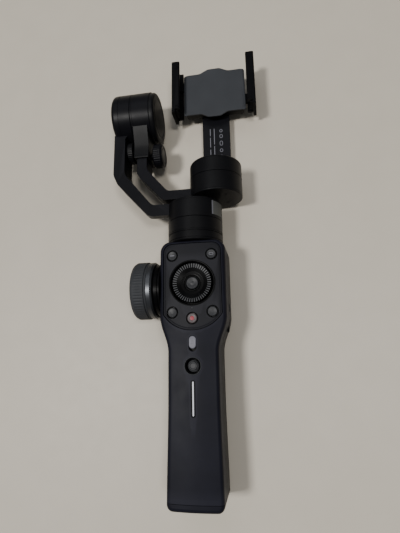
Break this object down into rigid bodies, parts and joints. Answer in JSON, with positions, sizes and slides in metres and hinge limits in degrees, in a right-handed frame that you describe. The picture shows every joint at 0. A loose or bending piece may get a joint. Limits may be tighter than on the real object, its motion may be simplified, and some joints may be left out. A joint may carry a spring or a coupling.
{
  "type": "three-axis handheld phone gimbal",
  "caption": "Handheld three-axis stabiliser with a control handle, pan, roll and tilt motors on bent arms, a focus wheel and a self-centring phone clamp, folded flat.",
  "frame": {"origin": "mouth of the tripod socket, on the common axis of the handle and the pan motor", "axes": "+Y up the handle from the base to the clamp, +Z out of the control face, +X to the right as seen from the control face; lying on its back on z = -0.021 m"},
  "size_m": [0.1152, 0.3352, 0.0433],
  "materials": {
    "shell_slate": "fine satin texture",
    "shell_black": "fine matte texture",
    "panel_grey": "smooth satin",
    "trim_black": "semi-gloss",
    "arm_paint": "satin anodised black",
    "motor_paint": "satin black",
    "brass": "machined",
    "winding": "enamelled copper winding",
    "cell_wrap": "shrink wrap",
    "board": "solder mask",
    "steel": "turned",
    "ring_metal": "turned satin",
    "wheel_grip": "ribbed grip",
    "cap_grey": "satin cap",
    "record_cap": "satin cap with a red dot",
    "switch_grey": "satin",
    "light_pipe": "translucent",
    "label": "blank label",
    "plate_grey": "satin",
    "jaw_black": "satin",
    "pad_rubber": "soft matte",
    "gear_plastic": "moulded"
  },
  "bodies": {
    "handle": {"front_shell": "shell_slate", "rear_shell": "shell_black", "control_panel": "panel_grey", "base_cap": "shell_black", "tripod_insert": "brass", "battery_cells": "cell_wrap", "battery_holder": "shell_black", "main_board": "board", "control_board": "board", "dial_housing": "trim_black", "usb_port": "steel", "led_light_pipe": "light_pipe", "joystick_housing": "trim_black", "handwheel_boss": "trim_black", "trigger_pins": "steel", "casing_screws": "steel", "pan_motor_housing": "motor_paint", "pan_stator": "winding", "pan_bearings": "steel"},
    "handwheel": {"handwheel_hub": "ring_metal", "handwheel_grip": "wheel_grip"},
    "dial": {"dial_ring": "trim_black"},
    "dial_button": {"dial_button": "panel_grey"},
    "button_top_left": {"button_top_left": "cap_grey"},
    "button_top_right": {"button_top_right": "cap_grey"},
    "button_bottom_left": {"button_bottom_left": "cap_grey"},
    "button_bottom_right": {"button_bottom_right": "cap_grey"},
    "record_button": {"record_button": "record_cap"},
    "mode_switch": {"mode_switch_cap": "switch_grey"},
    "joystick_yoke": {"joystick_yoke": "steel"},
    "joystick_stick": {"joystick_stick": "cap_grey"},
    "trigger_upper": {"trigger_upper": "trim_black"},
    "trigger_lower": {"trigger_lower": "trim_black"},
    "power_button": {"power_button": "cap_grey"},
    "pan_head": {"pan_rotor_cover": "motor_paint", "pan_rotor": "steel", "pan_arm": "arm_paint", "label_plate": "label", "roll_stator": "winding", "roll_bearings": "steel"},
    "roll_head": {"roll_housing": "arm_paint", "roll_end_cap": "motor_paint", "roll_rotor": "steel", "clamp_nut_disc": "arm_paint"},
    "thumb_screw": {"thumb_screw": "arm_paint"},
    "tilt_arm": {"tilt_arm": "arm_paint", "tilt_stator": "winding", "tilt_bearings": "steel"},
    "tilt_head": {"tilt_rotor_cover": "motor_paint", "tilt_rotor": "steel", "clamp_bar": "arm_paint"},
    "clamp": {"clamp_base": "jaw_black", "clamp_plate": "plate_grey", "clamp_pivot": "steel", "clamp_spring": "steel"},
    "jaw_left": {"jaw_left": "jaw_black", "jaw_pad_left": "pad_rubber"},
    "jaw_right": {"jaw_right": "jaw_black", "jaw_pad_right": "pad_rubber"},
    "jaw_pinion": {"jaw_pinion": "gear_plastic"}
  },
  "joints": [
    {"name": "pan", "type": "hinge", "parent": "handle", "child": "pan_head", "pos_m": [0, 0.192, 0], "axis": [0, 1, 0], "range_deg": [-240, 60]},
    {"name": "roll", "type": "hinge", "parent": "pan_head", "child": "roll_head", "pos_m": [-0.0485, 0.2875, 0], "axis": [1, 0, 0], "range_deg": [-210, 30]},
    {"name": "arm_slide", "type": "slide", "parent": "roll_head", "child": "tilt_arm", "axis": [0, 1, 0], "range_m": [-0.0025, 0.008]},
    {"name": "thumb_screw_turn", "type": "hinge", "parent": "roll_head", "child": "thumb_screw", "pos_m": [-0.034, 0.2526, 0], "axis": [1, 0, 0], "range_deg": [0, 360]},
    {"name": "tilt", "type": "hinge", "parent": "tilt_arm", "child": "tilt_head", "pos_m": [0.0168, 0.226, 0], "axis": [0, 1, 0], "range_deg": [-30, 210]},
    {"name": "clamp_turn", "type": "hinge", "parent": "tilt_head", "child": "clamp", "pos_m": [0.0168, 0.311, -0.014], "axis": [0, 0, 1], "range_deg": [0, 90]},
    {"name": "jaw_left_slide", "type": "slide", "parent": "clamp", "child": "jaw_left", "axis": [-1, 0, 0], "range_m": [0, 0.01], "stiffness_N_per_m": 400, "springref_m": -0.005},
    {"name": "jaw_right_slide", "type": "slide", "parent": "clamp", "child": "jaw_right", "axis": [1, 0, 0], "range_m": [0, 0.01]},
    {"name": "jaw_pinion_turn", "type": "hinge", "parent": "clamp", "child": "jaw_pinion", "pos_m": [0.0168, 0.311, -0.0085], "axis": [0, 0, 1], "range_deg": [0, 144]},
    {"name": "focus_wheel", "type": "hinge", "parent": "handle", "child": "handwheel", "pos_m": [-0.035, 0.142, 0.001], "axis": [-1, 0, 0], "continuous": true},
    {"name": "dial_turn", "type": "hinge", "parent": "handle", "child": "dial", "pos_m": [0, 0.1436, 0.015], "axis": [0, 0, 1], "continuous": true},
    {"name": "dial_button_press", "type": "slide", "parent": "handle", "child": "dial_button", "axis": [0, 0, -1], "range_m": [0, 0.0006], "stiffness_N_per_m": 1200},
    {"name": "button_top_left_press", "type": "slide", "parent": "handle", "child": "button_top_left", "axis": [0, 0, -1], "range_m": [0, 0.0006], "stiffness_N_per_m": 1200},
    {"name": "button_top_right_press", "type": "slide", "parent": "handle", "child": "button_top_right", "axis": [0, 0, -1], "range_m": [0, 0.0006], "stiffness_N_per_m": 1200},
    {"name": "button_bottom_left_press", "type": "slide", "parent": "handle", "child": "button_bottom_left", "axis": [0, 0, -1], "range_m": [0, 0.0006], "stiffness_N_per_m": 1200},
    {"name": "button_bottom_right_press", "type": "slide", "parent": "handle", "child": "button_bottom_right", "axis": [0, 0, -1], "range_m": [0, 0.0006], "stiffness_N_per_m": 1200},
    {"name": "record_button_press", "type": "slide", "parent": "handle", "child": "record_button", "axis": [0, 0, -1], "range_m": [0, 0.0006], "stiffness_N_per_m": 1200},
    {"name": "power_button_press", "type": "slide", "parent": "handle", "child": "power_button", "axis": [-1, 0, 0], "range_m": [0, 0.0006], "stiffness_N_per_m": 1200},
    {"name": "mode_switch_slide", "type": "slide", "parent": "handle", "child": "mode_switch", "axis": [0, 1, 0], "range_m": [-0.0016, 0]},
    {"name": "joystick_tilt_x", "type": "hinge", "parent": "handle", "child": "joystick_yoke", "pos_m": [0, 0.0876, 0.0126], "axis": [1, 0, 0], "range_deg": [-14, 14], "stiffness_Nm_per_rad": 0.01},
    {"name": "joystick_tilt_y", "type": "hinge", "parent": "joystick_yoke", "child": "joystick_stick", "pos_m": [0, 0.0876, 0.0126], "axis": [0, 1, 0], "range_deg": [-14, 14], "stiffness_Nm_per_rad": 0.01},
    {"name": "trigger_upper_pull", "type": "hinge", "parent": "handle", "child": "trigger_upper", "pos_m": [0, 0.143, -0.017], "axis": [-1, 0, 0], "range_deg": [0, 6], "stiffness_Nm_per_rad": 0.3},
    {"name": "trigger_lower_pull", "type": "hinge", "parent": "handle", "child": "trigger_lower", "pos_m": [0, 0.122, -0.017], "axis": [-1, 0, 0], "range_deg": [0, 6], "stiffness_Nm_per_rad": 0.3}
  ],
  "couplings": [
    {"joint": "jaw_right_slide", "follows": "jaw_left_slide", "ratio": 1},
    {"joint": "jaw_pinion_turn", "follows": "jaw_left_slide", "rad_per_m": 250}
  ]
}
